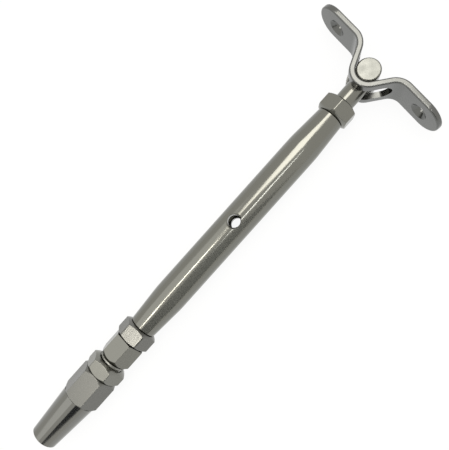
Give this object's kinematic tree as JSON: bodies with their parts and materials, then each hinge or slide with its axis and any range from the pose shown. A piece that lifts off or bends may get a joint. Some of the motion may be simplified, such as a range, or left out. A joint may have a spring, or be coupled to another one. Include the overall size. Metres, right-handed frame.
{
  "type": "shroud adjuster",
  "caption": "Closed barrel rigging adjuster with a bent slotted deck plate, a swinging T-bolt, lock nuts and a screwed cone terminal for wire rope.",
  "frame": {"origin": "middle of the two screw holes, on the face of the deck plate that lies against the deck", "axes": "+X out of the mounting face into the deck, Y along the plate through both screws, +Z along the T-bolt's pivot; the adjuster runs from the pivot at x = -7.5 mm towards -X, swung 8.6 degrees about Z as it lies in the picture"},
  "size_m": [0.1936, 0.0661, 0.016],
  "materials": {
    "stainless": "satin to half polished stainless steel"
  },
  "bodies": {
    "deck_plate": {"deck_plate": "stainless"},
    "t_bolt": {"t_bolt": "stainless"},
    "upper_lock_nut": {"upper_lock_nut": "stainless"},
    "barrel": {"barrel": "stainless"},
    "lower_lock_nut": {"lower_lock_nut": "stainless"},
    "terminal": {"terminal_stud": "stainless", "terminal_lock_nut": "stainless", "terminal_sleeve": "stainless", "wire_former": "stainless", "core_wedge": "stainless"}
  },
  "joints": [
    {"name": "toggle_pivot", "type": "hinge", "parent": "deck_plate", "child": "t_bolt", "pos_m": [-0.0075, 0, 0], "axis": [0, 0, 1], "range_deg": [-83.6, 66.4]},
    {"name": "upper_travel", "type": "slide", "parent": "t_bolt", "child": "upper_lock_nut", "axis": [-0.9888, -0.1495, 0], "range_m": [0, 0.035]},
    {"name": "barrel_spin", "type": "hinge", "parent": "upper_lock_nut", "child": "barrel", "pos_m": [-0.08176, -0.01123, 0], "axis": [-0.9888, -0.1495, 0], "range_deg": [0, 10080]},
    {"name": "lower_nut_turn", "type": "hinge", "parent": "barrel", "child": "lower_lock_nut", "pos_m": [-0.1391, -0.0199, 0], "axis": [-0.9888, -0.1495, 0], "range_deg": [-10080, 0]},
    {"name": "lower_travel", "type": "slide", "parent": "lower_lock_nut", "child": "terminal", "axis": [-0.9888, -0.1495, 0], "range_m": [0, 0.035]}
  ],
  "couplings": [
    {"joint": "barrel_spin", "follows": "upper_travel", "rad_per_m": 5026.5},
    {"joint": "lower_nut_turn", "follows": "upper_travel", "rad_per_m": -5026.5},
    {"joint": "lower_travel", "follows": "upper_travel", "ratio": 1}
  ]
}
